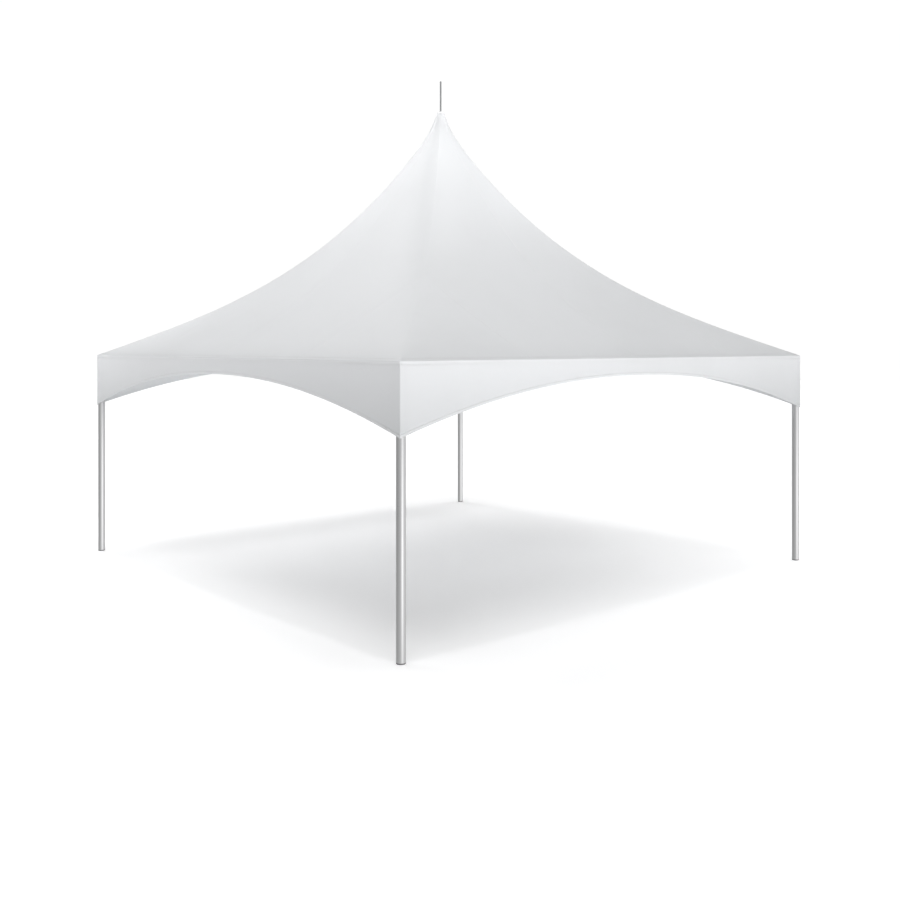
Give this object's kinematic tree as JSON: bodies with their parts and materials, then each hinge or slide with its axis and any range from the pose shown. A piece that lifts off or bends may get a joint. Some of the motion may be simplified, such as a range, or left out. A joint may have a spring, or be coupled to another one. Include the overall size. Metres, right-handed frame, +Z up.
{
  "type": "marquee tent",
  "caption": "Open-sided square marquee tent: a white cloth roof drawn up to a sharp peak, with arched valances, on an aluminium frame with round legs.",
  "frame": {"origin": "plan centre of the tent on the ground, midway between the feet", "axes": "+Z up along the mast; -Y out through the front side and -X out through the left side, the two sides that the picture shows"},
  "size_m": [6.096, 6.096, 5.79],
  "materials": {
    "white_cloth": "satin",
    "aluminium_tube": "satin",
    "cast_aluminium": "matte",
    "galvanised_steel": "satin",
    "grey_rubber": "matte",
    "white_cap": "satin",
    "grey_pin": "satin"
  },
  "bodies": {
    "root": {"leg_front_left": "aluminium_tube", "leg_front_right": "aluminium_tube", "leg_back_right": "aluminium_tube", "leg_back_left": "aluminium_tube", "leg_foot_front_left": "grey_rubber", "leg_foot_front_right": "grey_rubber", "leg_foot_back_right": "grey_rubber", "leg_foot_back_left": "grey_rubber", "corner_fitting_front_left": "cast_aluminium", "corner_fitting_front_right": "cast_aluminium", "corner_fitting_back_right": "cast_aluminium", "corner_fitting_back_left": "cast_aluminium", "eave_rail_front": "aluminium_tube", "eave_rail_right": "aluminium_tube", "eave_rail_back": "aluminium_tube", "eave_rail_left": "aluminium_tube", "cable_tensioner_front_left": "galvanised_steel", "cable_tensioner_front_right": "galvanised_steel", "cable_tensioner_back_right": "galvanised_steel", "cable_tensioner_back_left": "galvanised_steel", "cross_cable_front_left": "galvanised_steel", "cross_cable_front_right": "galvanised_steel", "cross_cable_back_right": "galvanised_steel", "cross_cable_back_left": "galvanised_steel", "mast_foot": "cast_aluminium", "mast_tube": "aluminium_tube", "mast_head": "cast_aluminium", "peak_cap": "white_cap", "top_pin": "grey_pin", "roof_panel_front": "white_cloth", "roof_panel_right": "white_cloth", "roof_panel_back": "white_cloth", "roof_panel_left": "white_cloth", "valance_front": "white_cloth", "valance_right": "white_cloth", "valance_back": "white_cloth", "valance_left": "white_cloth"}
  },
  "joints": []
}
